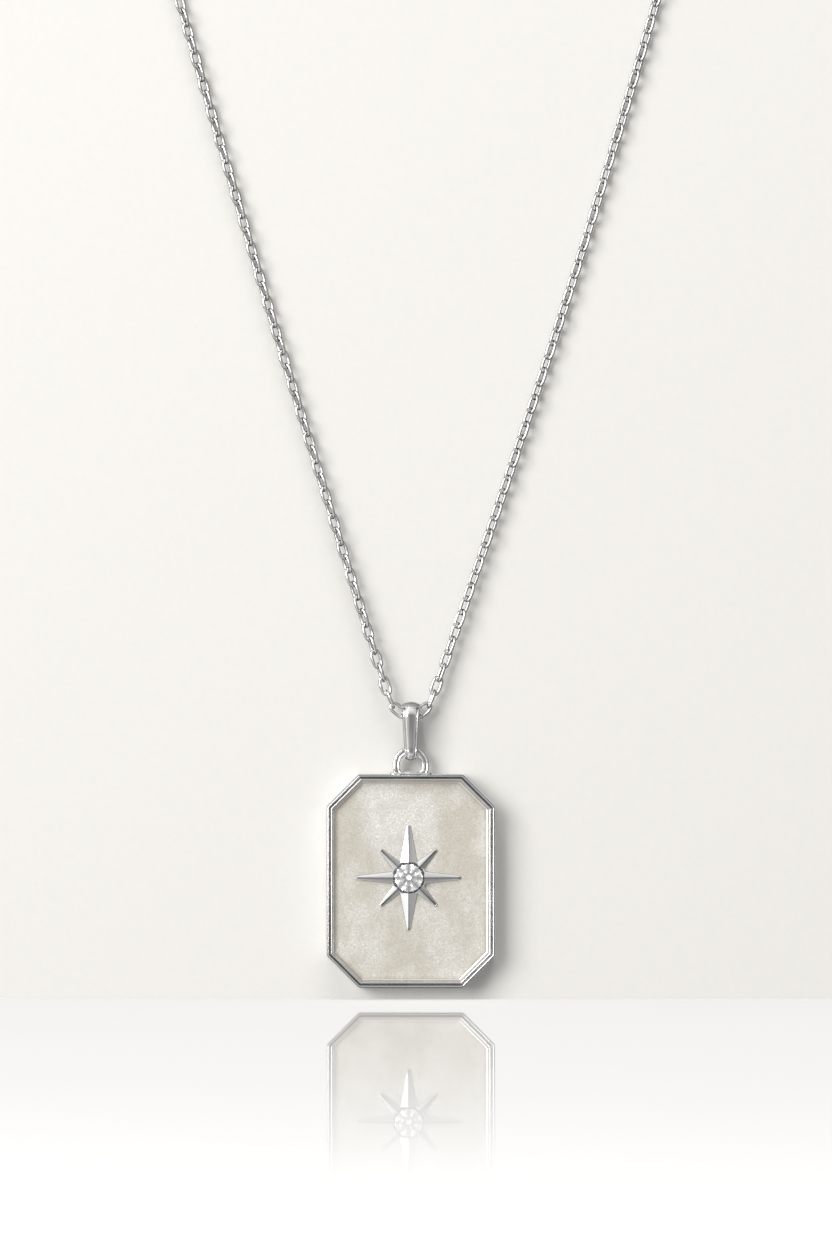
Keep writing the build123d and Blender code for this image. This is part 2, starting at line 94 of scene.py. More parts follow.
class Nodes:
    """The node tree of a material, given by a new name or as it is, or of the world."""

    def __init__(self, owner):
        if isinstance(owner, str):
            owner = bpy.data.materials.new(owner)
            owner.use_nodes = True
        self.material = owner
        self.tree = owner.node_tree
        coordinates = self.add("ShaderNodeTexCoord")
        if isinstance(owner, bpy.types.World):
            self.shader = self.tree.nodes["Background"]
            self.place = self.direction = coordinates.outputs["Generated"]
        else:
            self.shader = self.tree.nodes["Principled BSDF"]
            self.output = self.tree.nodes["Material Output"]
            self.place = coordinates.outputs["Object"]

    def add(self, kind, **values):
        """A node with some of its settings, or of its sockets' values, given by name."""
        node = self.tree.nodes.new(kind)
        for key, value in values.items():
            if hasattr(node, key):
                setattr(node, key, value)
            else:
                node.inputs[key.replace("_", " ")].default_value = value
        return node

    def link(self, source, target):
        self.tree.links.new(source, target)

    def set(self, **values):
        """The shader's own values, by socket name."""
        for key, value in values.items():
            self.shader.inputs[key.replace("_", " ")].default_value = value

    def math(self, operation, *values):
        node = self.add("ShaderNodeMath", operation=operation)
        for socket, value in zip(node.inputs, values):
            if isinstance(value, bpy.types.NodeSocket):
                self.link(value, socket)
            else:
                socket.default_value = value
        return node.outputs["Value"]

    def noise(self, scale, detail, rough, stretch=(1, 1, 1), shift=(0, 0, 0)):
        """A cloudy value from 0 to 1; scale is in clouds for each metre, or unit of direction."""
        mapping = self.add("ShaderNodeMapping")
        mapping.inputs["Location"].default_value = shift
        mapping.inputs["Scale"].default_value = stretch
        self.link(self.place, mapping.inputs["Vector"])
        noise = self.add("ShaderNodeTexNoise", Scale=scale, Detail=detail, Roughness=rough)
        self.link(mapping.outputs["Vector"], noise.inputs["Vector"])
        return noise.outputs["Fac"]

    def cells(self, scale):
        """How far a place is from the middle of the cell that it lies in."""
        cells = self.add("ShaderNodeTexVoronoi", Scale=scale)
        self.link(self.place, cells.inputs["Vector"])
        return cells.outputs["Distance"]

    def split(self, vector):
        node = self.add("ShaderNodeSeparateXYZ")
        self.link(vector, node.inputs["Vector"])
        return node.outputs

    def show(self, share, first, second):
        """The material shows first where share is 0 and second where it is 1."""
        mix = self.add("ShaderNodeMixShader")
        self.link(share, mix.inputs["Fac"])
        self.link(first, mix.inputs[1])
        self.link(second, mix.inputs[2])
        self.link(mix.outputs["Shader"], self.output.inputs["Surface"])

    def ramp(self, source, *stops):
        """A colour or grey ramp: stops are (place, value or colour)."""
        ramp = self.add("ShaderNodeValToRGB")
        elements = ramp.color_ramp.elements
        while len(elements) < len(stops):
            elements.new(1.0)
        for element, (where, value) in zip(elements, stops):
            element.position = where
            colour = value if isinstance(value, tuple) else (value, value, value)
            element.color = (*colour, 1.0)
        self.link(source, ramp.inputs["Fac"])
        return ramp.outputs["Color"]

    def mix(self, share, first, second, blend="MIX"):
        """Mixes two colours; share, first and second are sockets or plain values."""
        mix = self.add("ShaderNodeMix", data_type="RGBA", blend_type=blend)
        for socket, value in zip((0, 6, 7), (share, first, second)):
            if isinstance(value, bpy.types.NodeSocket):
                self.link(value, mix.inputs[socket])
            else:
                mix.inputs[socket].default_value = (*value, 1.0) if isinstance(value, tuple) else value
        return mix.outputs[2]

    def bump(self, *layers):
        """Bump layers one on another: each is (height socket, strength, distance)."""
        normal = None
        for height, strength, distance in layers:
            bump = self.add("ShaderNodeBump", Strength=strength, Distance=distance)
            self.link(height, bump.inputs["Height"])
            if normal is not None:
                self.link(normal, bump.inputs["Normal"])
            normal = bump.outputs["Normal"]
        self.link(normal, self.shader.inputs["Normal"])


CLOUDS_PER_METRE = 420
LINES_PER_METRE = 2600
LINE_STRETCH = (1, 1, 9)
LINE_SHARE = 0.45  # of the roughness, what comes from the polishing lines
GRAINS_PER_METRE = 9000


def silver_material(name, bright, dull, smooth, rough):
    """Polished metal between two tones and two roughnesses: cloudy, with fine polishing lines and grain."""
    n = Nodes(name)
    n.set(Metallic=1.0)
    cloud = n.noise(CLOUDS_PER_METRE, 4, 0.6)
    n.link(n.ramp(cloud, (0.3, dull), (0.7, bright)), n.shader.inputs["Base Color"])
    lines = n.noise(LINES_PER_METRE, 2, 0.5, LINE_STRETCH)
    grain = n.noise(GRAINS_PER_METRE, 2, 0.6)
    cloud_shine = n.ramp(cloud, (0.3, rough), (0.7, smooth))
    line_shine = n.ramp(lines, (0.35, smooth), (0.75, rough))
    n.link(n.mix(LINE_SHARE, cloud_shine, line_shine), n.shader.inputs["Roughness"])
    n.bump((lines, 0.05, 0.01 * MM), (grain, 0.06, 0.004 * MM))
    return n.material


FROST_DEPTH = 0.55 * MM  # from the bail's top down to where the frosting starts
FROST_FADE = 0.12 * MM
FROST_RELIEF = 0.045 * MM
FROST_ROUGHNESS = 0.55
FROST_MARKS_PER_METRE = 11000


def frost_from_top(material):
    """A band of fine tool marks over the bail's top, on top of the metal's own grain."""
    n = Nodes(material)
    roughness, normal = n.shader.inputs["Roughness"], n.shader.inputs["Normal"]
    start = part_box("bail")[1].z - FROST_DEPTH
    height = n.math("DIVIDE", n.math("SUBTRACT", n.split(n.place)["Z"], start), FROST_FADE)
    frost = n.ramp(height, (0.0, 0.0), (1.0, 1.0))
    marks = n.math("MULTIPLY", frost, n.cells(FROST_MARKS_PER_METRE))
    n.link(n.mix(frost, roughness.links[0].from_socket, (FROST_ROUGHNESS,) * 3), roughness)
    bump = n.add("ShaderNodeBump", Strength=1.0, Distance=FROST_RELIEF)
    n.link(marks, bump.inputs["Height"])
    n.link(normal.links[0].from_socket, bump.inputs["Normal"])
    n.link(bump.outputs["Normal"], normal)


SHELL_CUT = 2.49 * MM  # leg of the shell's 45 degree corners
SHELL_COVERED = 0.15 * MM  # of the shell's edge, what lies under the frame's wall
RIM_SHADOW_REACH = 0.34 * MM  # how far in from the rim the painted brown shadow on the shell reaches


def octagon_distance(n):
    """How far in from the frame's sloping wall a place is, reaching 1 at RIM_SHADOW_REACH."""
    low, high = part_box("shell_inlay")
    middle, half = (low + high) / 2, (high - low) / 2
    place = n.split(n.place)
    right = n.math("ABSOLUTE", n.math("SUBTRACT", place["X"], middle.x))
    up = n.math("ABSOLUTE", n.math("SUBTRACT", place["Z"], middle.z))
    from_side = n.math("SUBTRACT", half.x, right)
    from_top = n.math("SUBTRACT", half.z, up)
    short_of_corner = n.math("SUBTRACT", half.x + half.z - SHELL_CUT, n.math("ADD", right, up))
    from_corner = n.math("MULTIPLY", short_of_corner, math.sqrt(0.5))
    nearest = n.math("MINIMUM", n.math("MINIMUM", from_side, from_top), from_corner)
    return n.math("DIVIDE", n.math("SUBTRACT", nearest, SHELL_COVERED), RIM_SHADOW_REACH)


def shell_material():
    """Mother-of-pearl: warm cream with pale sparkling clouds and fine grain, with a painted brown shadow
    along the rim.
    """
    n = Nodes("mother_of_pearl")
    clouds = n.noise(240, 6, 0.68, (1, 1, 0.8), (0.0043, 0, 0.0012))
    drift = n.noise(150, 2, 0.5, (1.2, 1, 0.8), (0.0061, 0, 0.0034))
    patch = n.mix(0.35, clouds, drift)
    grain = n.noise(6500, 3, 0.75)
    flake = n.ramp(n.cells(5200), (0.12, 1.0), (0.42, 0.0))
    veil = n.ramp(patch, (0.44, 0.0), (0.52, 0.5), (0.61, 1.0))
    grained = n.ramp(grain, (0.35, 0.0), (0.65, 1.0))
    warm = n.mix(grained, (0.555, 0.52, 0.45), (0.70, 0.665, 0.597))
    pale = n.mix(grained, (0.66, 0.64, 0.59), (0.88, 0.875, 0.85))
    colour = n.mix(veil, warm, pale)
    sparkle = n.mix(veil, (0.015, 0.015, 0.015), (0.26, 0.26, 0.25))
    colour = n.mix(flake, colour, n.mix(1.0, colour, sparkle, "ADD"))
    # Painted shadow: near the frame's wall the shell is darkened and browned where the rim's shade falls.
    edge = n.ramp(octagon_distance(n), (0.0, 0.0), (0.35, 0.6), (1.0, 1.0))
    colour = n.mix(edge, n.mix(1.0, colour, (0.66, 0.60, 0.54), "MULTIPLY"), colour)
    n.link(colour, n.shader.inputs["Base Color"])
    n.link(n.ramp(grain, (0.3, 0.34), (0.7, 0.55)), n.shader.inputs["Roughness"])
    n.set(Coat_Weight=0.25, Coat_Roughness=0.15, Sheen_Weight=0.05)
    n.bump((clouds, 0.15, 0.04 * MM), (grain, 0.2, 0.006 * MM))
    return n.material


def stone_material():
    """Colourless cut stone, very clear, with the faintest surface haze."""
    n = Nodes("cut_stone")
    n.set(Base_Color=(1, 1, 1, 1), IOR=2.15, Transmission_Weight=1.0)
    haze = n.noise(3000, 2, 0.5)
    n.link(n.ramp(haze, (0.4, 0.0), (0.9, 0.015)), n.shader.inputs["Roughness"])
    return n.material


def bond_material():
    """Clear set resin with small bubbles."""
    n = Nodes("bond_resin")
    bubbles = n.cells(2500)
    tone = n.ramp(bubbles, (0.1, (0.9, 0.88, 0.82)), (0.4, (0.78, 0.75, 0.68)))
    n.link(tone, n.shader.inputs["Base Color"])
    n.set(Roughness=0.3, Transmission_Weight=0.3)
    n.bump((bubbles, 0.2, 0.01 * MM))
    return n.material


polished = silver_material("polished_plate", (0.90, 0.895, 0.885), (0.82, 0.815, 0.80), 0.08, 0.17)
bail_metal = silver_material("bail_plate", (0.90, 0.895, 0.885), (0.84, 0.835, 0.82), 0.07, 0.15)
frost_from_top(bail_metal)
chain_metal = silver_material("chain_plate", (0.89, 0.885, 0.875), (0.70, 0.695, 0.68), 0.05, 0.13)
cast_metal = silver_material("cast_plate", (0.88, 0.875, 0.865), (0.78, 0.775, 0.765), 0.12, 0.26)
# Painted shade: a dark metal laid on faces to draw the dark lines that shade and dark reflections make, not
# a finish of its own.
painted_shade_metal = silver_material("darkened_plate", (0.36, 0.36, 0.37), (0.20, 0.20, 0.21), 0.16, 0.32)
collet_metal = silver_material("collet_plate", (0.20, 0.20, 0.21), (0.09, 0.09, 0.10), 0.14, 0.3)
spring_metal = silver_material("spring_steel_look", (0.55, 0.55, 0.55), (0.42, 0.42, 0.42), 0.25, 0.42)

# The CAD nodes that stay visible. Refined pieces further down replace the others.
node_looks = {
    "back_plate": cast_metal,
    "shell_inlay": shell_material(),
    "inlay_bond": bond_material(),
    "brilliant_stone": stone_material(),
    "clasp_jump_ring": chain_metal,
    "catch_jump_ring": chain_metal,
    "catch_ring": polished,
    "clasp_body": polished,
    "clasp_trigger": cast_metal,
    "clasp_pin": spring_metal,
    "clasp_spring": spring_metal,
}
for node, look in node_looks.items():
    for material_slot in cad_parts[node].material_slots:
        material_slot.material = look

# ---------------------------------------------------------------- meshes


def skin(rings, loop=True):
    """Faces between equal rings of points, closed into a loop or capped at both ends."""
    count = len(rings[0])
    verts = [point for ring in rings for point in ring]
    faces = []
    for r in range(len(rings) if loop else len(rings) - 1):
        here, there = r * count, (r + 1) % len(rings) * count
        for k in range(count):
            beside = (k + 1) % count
            faces.append((here + k, here + beside, there + beside, there + k))
    if not loop:
        faces.append(tuple(range(count - 1, -1, -1)))
        faces.append(tuple(range(len(verts) - count, len(verts))))
    return verts, faces


def join(verts, faces, more_verts, more_faces):
    """Adds the second mesh's points and faces to the first."""
    faces += [tuple(k + len(verts) for k in face) for face in more_faces]
    verts += more_verts


def mesh_object(name, verts, faces, material, body, sharp=180):
    """A smooth mesh that rides on a body; its edges sharper than an angle in degrees stay crisp."""
    mesh = bpy.data.meshes.new(name)
    mesh.from_pydata([tuple(v) for v in verts], [], [tuple(f) for f in faces])
    shape = bmesh.new()
    shape.from_mesh(mesh)
    bmesh.ops.recalc_face_normals(shape, faces=shape.faces)
    shape.to_mesh(mesh)
    shape.free()
    mesh.polygons.foreach_set("use_smooth", [True] * len(mesh.polygons))
    if sharp < 180:
        mesh.set_sharp_from_angle(angle=math.radians(sharp))
    mesh.materials.append(material)
    mesh.update()
    made = bpy.data.objects.new(name, mesh)
    bpy.context.scene.collection.objects.link(made)
    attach(made, body)
    return made


# ---------------------------------------------------------------- chain

# Lengths in millimetres and angles in degrees, as in the CAD.
WIRE = 0.28
LINK_WIDTH = 1.06
LINK_GAP = 0.04
LINK_PITCH = 1.27
BAIL_LINK_HEIGHT = 24.3
LEFT_ROLL = 36.0  # how far each strand's links lean over
RIGHT_ROLL = 45.0
TWIST_LINKS = 8  # over which the lean comes on, from the bail
UNTWIST_LINKS = 60  # over which it goes again, to the clasp
ROLL_JITTER = 4.0  # each link's own lean
LINK_POWER = 2.6  # of the link's oval: 2 is an ellipse, and more is squarer
SEAM_HALF = 0.12  # the solder seam in one side of each link
SEAM_BULGE = 0.1

# The route's points in millimetres: x to the right, y to the back, z up from the pendant's base.
left_route = [
    (-0.64, 0.0, 24.3),
    (-1.55, 0.0, 24.75),
    (-2.15, 0.05, 26.4),
    (-3.8, 0.2, 31.6),
    (-7.6, 0.5, 43.9),
    (-13.2, 0.6, 62.3),
    (-20.6, 0.6, 87.6),
    (-26.4, 0.6, 109.0),
    (-30.6, 0.6, 125.5),
    (-31.3, 0.6, 130.0),
    (-31.7, 3.7, 131.3),
    (-32.0, 6.8, 130.0),
    (-32.1, 6.8, 125.0),
    (-31.0, 6.8, 105.0),
    (-28.7, 6.8, 82.0),
    (-24.9, 6.8, 63.5),
    (-19.3, 6.8, 48.5),
    (-13.0, 6.8, 39.8),
    (-8.9, 6.8, 36.4),
    (-6.6, 6.8, 35.5),
]
right_route = [
    (0.64, 0.0, 24.3),
    (1.5, 0.0, 24.75),
    (2.1, 0.05, 26.4),
    (3.95, 0.2, 31.6),
    (8.15, 0.5, 43.9),
    (14.3, 0.6, 62.3),
    (21.9, 0.6, 87.6),
    (27.6, 0.6, 109.0),
    (31.4, 0.6, 125.5),
    (32.0, 0.6, 130.0),
    (32.3, 3.7, 131.3),
    (32.5, 6.8, 130.0),
    (32.6, 6.8, 125.0),
    (31.4, 6.8, 105.0),
    (29.0, 6.8, 82.0),
    (25.1, 6.8, 63.5),
    (19.4, 6.8, 48.5),
    (13.0, 6.8, 39.8),
    (8.9, 6.8, 36.4),
    (6.6, 6.8, 35.5),
]


def route_line(route):
    """Points down the route's smooth line, read from its NURBS spline, in metres."""
    curve = bpy.data.curves.new("route", "CURVE")
    curve.dimensions = "3D"
    spline = curve.splines.new("NURBS")
    spline.points.add(len(route) - 1)
    for point, (x, y, z) in zip(spline.points, route):
        point.co = (x * MM, y * MM, base + z * MM, 1)
    spline.order_u = 3
    spline.use_endpoint_u = True
    spline.resolution_u = 32
    holder = bpy.data.objects.new("route", curve)
    mesh = bpy.data.meshes.new_from_object(holder)
    line = np.array([v.co for v in mesh.vertices])
    bpy.data.meshes.remove(mesh)
    bpy.data.objects.remove(holder)
    return line


def evenly(line, count):
    """count + 1 points along the line, the same distance apart, and the line's length."""
    along = np.concatenate([[0], np.cumsum(np.linalg.norm(np.diff(line, axis=0), axis=1))])
    places = np.linspace(0, along[-1], count + 1)
    return np.stack([np.interp(places, along, line[:, k]) for k in range(3)], axis=1), along[-1]


def link_shape(around=12, along=40):
    """One cable link along X: round wire in a flattened oval, with a soft solder seam on one side."""
    half_length = (LINK_PITCH + LINK_GAP + WIRE) / 2
    half_width = (LINK_WIDTH - WIRE) / 2
    squareness = 2 / LINK_POWER
    center = []
    for step in range(along):
        angle = 2 * math.pi * step / along
        x, y = math.cos(angle), math.sin(angle)
        center.append((math.copysign(abs(x) ** squareness, x) * half_length,
                       math.copysign(abs(y) ** squareness, y) * half_width))
    rings = []
    for step, (cx, cy) in enumerate(center):
        ahead, behind = Vector(center[(step + 1) % along]), Vector(center[step - 1])
        heading = (ahead - behind).normalized()
        seam = math.exp(-(cx / SEAM_HALF) ** 2) if cy > 0 else 0.0
        radius = WIRE / 2 * (1 + SEAM_BULGE * seam)
        ring = []
        for turn in range(around):
            across = radius * math.cos(2 * math.pi * turn / around)
            rise = radius * math.sin(2 * math.pi * turn / around)
            ring.append((cx + heading.y * across, cy - heading.x * across, rise))
        rings.append(ring)
    verts, faces = skin(rings)
    return np.array(verts) * MM, np.array(faces)


def placed_links(frames):
    """One mesh of links, each at its own frame (middle, along, width direction)."""
    shape, quads = link_shape()
    verts, faces = [], []
    for middle, along, width in frames:
        normal = np.cross(along, width)
        verts.append(shape @ np.array([along, width, normal]) + middle)
        faces.append(quads + len(shape) * len(faces))
    return np.concatenate(verts), np.concatenate(faces)


def turned(vector, axis, degrees):
    """The vector turned about the axis."""
    return np.array(Matrix.Rotation(math.radians(degrees), 3, Vector(axis)) @ Vector(vector))


def strand_frames(route, even, roll, draw):
    """Where each link of a strand goes, a quarter turn on from the one before, and the strand's line."""
    line = route_line(route)
    length = evenly(line, 1)[1]
    count = round(length / (LINK_PITCH * MM))
    if (count % 2 == 0) != even:
        count += 1 if length / (LINK_PITCH * MM) > count else -1
    joints, length = evenly(line, count)
    side = np.array((0.0, 0.0, 1.0))
    frames = []
    for n in range(count):
        along = joints[n + 1] - joints[n]
        along /= np.linalg.norm(along)
        side = side - along * side.dot(along)
        side /= np.linalg.norm(side)
        twist = roll * min(1, (n + 1) / TWIST_LINKS, (count - 1 - n) / UNTWIST_LINKS)
        own = draw.uniform(-ROLL_JITTER, ROLL_JITTER) if 0 < n < count - 1 else 0.0
        frames.append(((joints[n] + joints[n + 1]) / 2, along, turned(side, along, 90 * n + twist + own)))
    return frames, line, length


def chain_side(name, route, even, roll, seed):
    """One side of the chain, from the bail's link to the clasp, as a mesh of links in place of the strand's
    CAD nodes.
    """
    frames, line, length = strand_frames(route, even, roll, random.Random(seed))
    verts, faces = placed_links(frames)
    links = mesh_object(f"chain_links_{name}", verts, faces, chain_metal, "chain")
    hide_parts(f"chain_front_{name}", f"chain_over_rail_{name}", f"chain_back_{name}")


chain_side("left", left_route, even=False, roll=LEFT_ROLL, seed=4)
chain_side("right", right_route, even=True, roll=RIGHT_ROLL, seed=9)

bail_link_place = np.array((0, 0, base + BAIL_LINK_HEIGHT * MM))
bail_link_frame = (bail_link_place, np.array((1.0, 0, 0)), np.array((0, 1.0, 0)))
bail_link = mesh_object("link_in_bail", *placed_links([bail_link_frame]), chain_metal, "chain")
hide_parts("bail_link")

# ---------------------------------------------------------------- frame, loop, collet, bail and star

# Everything here is in millimetres; plated() turns it into metres.
CORNER_CUT = 2.85
CORNER_ROUND = 0.45
SHARPEST_CORNER = 0.03  # radius, well inside the outline
CORNER_STEPS = 8
frame_half_x = (frame_high.x - frame_low.x) / 2 / MM
frame_half_z = (frame_high.z - frame_low.z) / 2 / MM
frame_thick = (frame_back - frame_front) / MM


def arc(x, y, radius, start, end, steps):
    """Points on a circle's arc, angles in degrees."""
    places = []
    for step in range(steps + 1):
        angle = math.radians(start + (end - start) * step / steps)
        places.append((x + radius * math.cos(angle), y + radius * math.sin(angle)))
    return places


def plated(name, verts, faces, material, body, node, sharp):
    """A refined metal piece, given in millimetres, that stands for a CAD node."""
    made = mesh_object(name, [Vector(v) * MM for v in verts], faces, material, body, sharp)
    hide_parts(node)
    return made


def paint_shade(made, faces):
    """Gives some of a piece's faces the dark metal that paints shade and dark reflected lines onto them."""
    made.data.materials.append(painted_shade_metal)
    for face in faces:
        made.data.polygons[face].material_index = 1


def box_mm(node):
    """A CAD node's lowest and highest corners, and its middle, in millimetres."""
    low, high = (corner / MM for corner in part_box(node))
    return low, high, (low + high) / 2


def corner_place(corner, share, inset):
    """On the frame's outline moved in by inset: part of the way round one of its eight corners."""
    x, z = frame_half_x - inset, frame_half_z - inset
    cut = CORNER_CUT - inset * (2 - math.sqrt(2))
    ends = [(x, -z + cut), (x, z - cut), (x - cut, z), (-x + cut, z),
            (-x, z - cut), (-x, -z + cut), (-x + cut, -z), (x - cut, -z)]
    here = Vector(ends[corner])
    coming = (here - Vector(ends[corner - 1])).normalized()
    radius = max(CORNER_ROUND - inset, SHARPEST_CORNER)
    start = here - coming * radius * math.tan(math.radians(45 / 2))
    to_center = Vector((-coming.y, coming.x)) * radius
    return start + to_center + Matrix.Rotation(math.radians(45 * share), 2) @ -to_center


# The frame's section: insets from its outer edge and depths from its front.
BEAD_HALF = 0.135  # the outer bead's half width
BEAD_DEPTH = 0.3  # and its height, more than that
GROOVE_FROM = 0.295
GROOVE_TO = 0.345
GROOVE_DEPTH = 0.21
GROOVE_FACES = range(20, 24)  # of the section, those down in the groove, which are painted dark as shade
RIDGE_MIDDLE = 0.45
RIDGE_HALF = 0.07
WALL_FOOT = 0.77  # where the sloping wall meets the shell
WALL_STEPS = 8
WALL_TURN = math.radians(80)  # how much the wall curves from its top to its foot
RECESS = 0.5  # the shell's depth
CAVITY = 0.6
CAVITY_BACK = 1.8
REBATE = 0.34


def rim_profile():
    """The frame's section, each point an inset from the outer edge and a depth from the front."""
    profile = arc(BEAD_HALF, frame_thick - BEAD_HALF, BEAD_HALF, 90, 180, 5)
    for inset, depth in arc(BEAD_HALF, BEAD_HALF, BEAD_HALF, 180, 340, 14):
        profile.append((inset, BEAD_DEPTH + (depth - BEAD_HALF) * BEAD_DEPTH / BEAD_HALF))
    profile += [(GROOVE_FROM, GROOVE_DEPTH), (GROOVE_TO, GROOVE_DEPTH)]
    profile += arc(RIDGE_MIDDLE, RIDGE_HALF, RIDGE_HALF, 190, 330, 8)
    top_in, top_down = profile[-1]
    for step in range(1, WALL_STEPS + 1):
        angle = WALL_TURN * step / WALL_STEPS
        inwards = (1 - math.cos(angle)) / (1 - math.cos(WALL_TURN))
        down = math.sin(angle) / math.sin(WALL_TURN)
        profile.append((top_in + (WALL_FOOT - top_in) * inwards, top_down + (RECESS - top_down) * down))
    profile += [(CAVITY, RECESS + 0.01), (CAVITY, CAVITY_BACK), (REBATE, CAVITY_BACK), (REBATE, frame_thick)]
    return profile


def rim():
    """The frame: its section swept round the octagon, with painted shade on the groove's floor."""
    center = frame_center / MM
    profile = rim_profile()
    rings = []
    for corner in range(8):
        for step in range(CORNER_STEPS + 1):
            ring = []
            for inset, depth in profile:
                place = corner_place(corner, step / CORNER_STEPS, inset)
                ring.append((center.x + place.x, frame_front / MM + depth, center.z + place.y))
            rings.append(ring)
    made = plated("rim", *skin(rings), polished, "pendant", "bezel_frame", sharp=50)
    # The groove's floor is painted dark, standing in for the shade down in the groove.
    dark = [face.index for face in made.data.polygons if face.index % len(profile) in GROOVE_FACES]
    paint_shade(made, dark)


LOOP_HALF_WIDTH = 1.6
LOOP_BAND = 0.62
LOOP_THICK = 0.72
LOOP_CORNER = 0.62  # radius of the ring's lower corners, at the middle of its band
LOOP_BOTTOM = 0.23  # from the flange's foot up to the inside of the ring
LOOP_BEAD = 0.12  # radius of the two beads along the ring's front, and of its back edges
LOOP_RIDGE_HALF = 0.05  # the low flat ridge between the beads
LOOP_RIDGE_RISE = 0.03
FLANGE_CORNER = 0.3
FLANGE_STEPS = ((0.0, 0.0), (0.1, 0.0), (0.15, 0.05))  # height and inset up the flange's side


def loop_ring():
    """The ring on the frame's top: an arch with round lower corners and two beads along its front."""
    low, high, middle = box_mm("frame_loop")
    across = LOOP_HALF_WIDTH - LOOP_BAND / 2
    arch_z = high.z - LOOP_HALF_WIDTH
    corner_x = across - LOOP_CORNER
    corner_z = low.z + LOOP_BOTTOM - LOOP_BAND / 2 + LOOP_CORNER
    path = arc(0, arch_z, across, 0, 180, 28)
    path += arc(-corner_x, corner_z, LOOP_CORNER, 180, 270, 8)
    path += arc(corner_x, corner_z, LOOP_CORNER, 270, 360, 8)
    out = LOOP_BAND / 2 - LOOP_BEAD
    deep = LOOP_THICK / 2 - LOOP_BEAD
    section = [(q, -y) for q, y in arc(out, deep, LOOP_BEAD, 0, 165, 8)]
    section += [(q, -deep - LOOP_RIDGE_RISE) for q in (LOOP_RIDGE_HALF, -LOOP_RIDGE_HALF)]
    section += [(q, -y) for q, y in arc(-out, deep, LOOP_BEAD, 15, 180, 8)]
    section += arc(-out, deep, LOOP_BEAD, 180, 90, 4) + arc(out, deep, LOOP_BEAD, 90, 0, 4)
    rings = []
    for n, (x, z) in enumerate(path):
        ahead, behind = Vector(path[(n + 1) % len(path)]), Vector(path[n - 1])
        heading = (ahead - behind).normalized()
        rings.append([(middle.x + x + heading.y * q, y, z - heading.x * q) for q, y in section])
    verts, faces = skin(rings)
    flange = []
    corner_x, corner_y = middle.x - low.x - FLANGE_CORNER, middle.y - low.y - FLANGE_CORNER
    for rise, inset in FLANGE_STEPS:
        outline = []
        for turn, (to_x, to_y) in enumerate(((1, 1), (-1, 1), (-1, -1), (1, -1))):
            x, y, radius = to_x * corner_x, to_y * corner_y, FLANGE_CORNER - inset
            outline += arc(x, y, radius, 90 * turn, 90 * turn + 90, 5)
        flange.append([(middle.x + x, y, low.z + rise) for x, y in outline])
    join(verts, faces, *skin(flange, loop=False))
    plated("loop_ring", verts, faces, polished, "pendant", "frame_loop", sharp=50)


BAIL_FOOT_RADIUS = 0.92
BAIL_FOOT_WIDTH = 1.08
BAIL_WALL = 0.4
FLANK_STEPS = 12
FLANK_BOW = 0.045  # how far the bail's straight front and back bow out
HEAD_FLARE = 0.1  # the head's extra width, as a share
FACE_BOW = 0.15  # how far the face falls away to its sides, and more over the head
HEAD_BOW = 0.14
STRIP_WIDTH = 0.2  # the strips along the bail's edges, and the seam inside each
SEAM_DEPTH = 0.06
SEAM_WIDTH = 0.045
EDGE_ROUND = 0.09
INSIDE_INSET = 0.04
FACE_STEPS = 18  # from the middle of the face to each edge


def bail_stations():
    """Places round the bail's side view, head first, with the direction each faces."""
    low, high, _ = box_mm("bail")
    head_radius = (high.y - low.y) / 2
    head_z, foot_z = high.z - head_radius, low.z + BAIL_FOOT_RADIUS
    lean = math.degrees(math.asin((head_radius - BAIL_FOOT_RADIUS) / (head_z - foot_z)))
    turns = [(head_z, head_radius, a) for a in np.linspace(lean, 180 - lean, 45)]
    turns += [(foot_z, BAIL_FOOT_RADIUS, a) for a in np.linspace(180 - lean, 360 + lean, 37)]
    stations = []
    for n, (z, radius, angle) in enumerate(turns):
        normal = Vector((math.cos(math.radians(angle)), math.sin(math.radians(angle))))
        here = Vector((0, z)) + normal * radius
        stations.append((here, normal))
        next_z, next_radius, _ = turns[(n + 1) % len(turns)]
        if next_z != z:
            there = Vector((0, next_z)) + normal * next_radius
            for k in range(1, FLANK_STEPS):
                bow_out = FLANK_BOW * math.sin(math.pi * k / FLANK_STEPS)
                stations.append((here.lerp(there, k / FLANK_STEPS) + normal * bow_out, normal))
    return stations


def bail_wrap():
    """The bail: a tapered band wrapped over chain and loop, its face bowed between two edge strips."""
    low, high, _ = box_mm("bail")
    rings = []
    for place, normal in bail_stations():
        share = (place.y - low.z) / (high.z - low.z)
        crown = max(normal.y, 0.0) ** 2
        half = (BAIL_FOOT_WIDTH + ((high.x - low.x) - BAIL_FOOT_WIDTH) * share) / 2
        half *= 1 + HEAD_FLARE * crown
        ring = []
        for step in range(-FACE_STEPS, FACE_STEPS + 1):
            across = step / FACE_STEPS
            from_edge = half * (1 - abs(across))
            seam = SEAM_DEPTH * (1 - crown) * math.exp(-((from_edge - STRIP_WIDTH) / SEAM_WIDTH) ** 2)
            edge = max(EDGE_ROUND - from_edge, 0.0) / EDGE_ROUND
            rounding = EDGE_ROUND * (1 - math.sqrt(max(1 - edge ** 2, 0.0)))
            sunk = (FACE_BOW + HEAD_BOW * crown) * across ** 2 + seam + rounding
            ring.append((half * across, place.x - normal.x * sunk, place.y - normal.y * sunk))
        for across in np.linspace(1, -1, 9):
            inner = place - normal * BAIL_WALL
            ring.append(((half - INSIDE_INSET) * across, inner.x, inner.y))
        rings.append(ring)
    plated("bail_wrap", *skin(rings), bail_metal, "bail", "bail", sharp=60)


